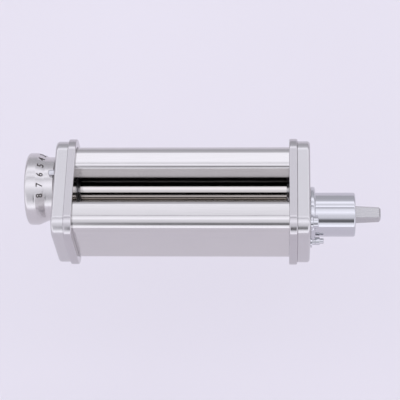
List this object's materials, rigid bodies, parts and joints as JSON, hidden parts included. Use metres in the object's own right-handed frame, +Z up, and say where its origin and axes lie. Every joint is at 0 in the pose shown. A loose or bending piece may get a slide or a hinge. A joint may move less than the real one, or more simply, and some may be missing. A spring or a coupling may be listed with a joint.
{
  "type": "pasta roller attachment",
  "caption": "Dough sheeting attachment for a stand mixer: steel rollers between end plates under bent covers, with a numbered thickness knob and a drive spigot.",
  "frame": {"origin": "on the ground under the middle of the whole length, where the end plates stand", "axes": "+X along the rollers towards the mixer, -Y the front, +Z up"},
  "size_m": [0.2502, 0.0784, 0.0634],
  "materials": {
    "brushed_cover": "brushed along the length, bright",
    "satin_casting": "satin, polished along the front edges",
    "knob_satin": "satin, turned, with dark engraved numbers",
    "ground_roller": "ground and nearly mirror bright",
    "bright_steel": "drawn steel, bright",
    "gear_steel": "machined, lightly oiled",
    "bush_bronze": "oil-filled sintered bronze, matte",
    "chromed_steel": "polished chrome",
    "zinc_plate": "zinc plated, semi-bright"
  },
  "bodies": {
    "frame": {"knob_end_plate": "satin_casting", "hub_end_plate": "satin_casting", "knob_end_cap": "satin_casting", "hub_end_cap": "satin_casting", "front_cover": "brushed_cover", "rear_cover": "brushed_cover", "tie_rod_1": "zinc_plate", "tie_rod_2": "zinc_plate", "tie_rod_3": "zinc_plate", "tie_rod_4": "zinc_plate", "rod_screw_knob_1": "zinc_plate", "rod_screw_knob_2": "zinc_plate", "rod_screw_knob_3": "zinc_plate", "rod_screw_knob_4": "zinc_plate", "rod_screw_hub_1": "zinc_plate", "rod_screw_hub_2": "zinc_plate", "rod_screw_hub_3": "zinc_plate", "rod_screw_hub_4": "zinc_plate", "cap_screw_knob_1": "zinc_plate", "cap_screw_knob_2": "zinc_plate", "cap_screw_hub_1": "zinc_plate", "cap_screw_hub_2": "zinc_plate", "front_bush_knob": "bright_steel", "front_bush_hub": "bright_steel", "front_scraper": "bright_steel", "index_pin": "chromed_steel", "detent_pin": "bright_steel", "mount_spigot": "chromed_steel", "spigot_bush": "bush_bronze", "locating_pin": "chromed_steel", "mount_screw_1": "chromed_steel", "mount_screw_2": "chromed_steel"},
    "front_roller": {"front_roller": "ground_roller", "drive_shaft": "bright_steel", "front_gear": "gear_steel", "front_snap_ring": "bright_steel"},
    "rear_roller": {"rear_roller": "ground_roller", "rear_shaft": "bright_steel", "rear_gear": "gear_steel"},
    "carrier": {"rear_bush_knob": "bright_steel", "rear_bush_hub": "bright_steel", "rear_scraper": "bright_steel"},
    "regulator": {"knob_eccentric": "gear_steel", "hub_eccentric": "gear_steel", "link_bar": "bright_steel", "spindle_washer": "zinc_plate", "spindle_screw": "zinc_plate"},
    "knob": {"regulator_knob": "knob_satin", "knob_lid": "knob_satin", "knob_spring": "bright_steel"}
  },
  "joints": [
    {"name": "drive_spin", "type": "hinge", "parent": "frame", "child": "front_roller", "pos_m": [0, -0.01001, 0.0317], "axis": [1, 0, 0], "continuous": true},
    {"name": "knob_turn", "type": "hinge", "parent": "frame", "child": "regulator", "pos_m": [0, 0.0105, 0.0317], "axis": [1, 0, 0], "range_deg": [-36, 90]},
    {"name": "carrier_level", "type": "hinge", "parent": "regulator", "child": "carrier", "pos_m": [0, 0.00993, 0.03059], "axis": [1, 0, 0], "range_deg": [-90, 36]},
    {"name": "rear_roller_spin", "type": "hinge", "parent": "carrier", "child": "rear_roller", "pos_m": [0, 0.00993, 0.03059], "axis": [1, 0, 0], "continuous": true},
    {"name": "knob_pull", "type": "slide", "parent": "regulator", "child": "knob", "axis": [-1, 0, 0], "range_m": [0, 0.004], "stiffness_N_per_m": 500, "springref_m": -0.004, "deforming": ["knob_spring"]}
  ],
  "couplings": [
    {"joint": "carrier_level", "follows": "knob_turn", "ratio": -1},
    {"joint": "rear_roller_spin", "follows": "drive_spin", "ratio": -1}
  ]
}
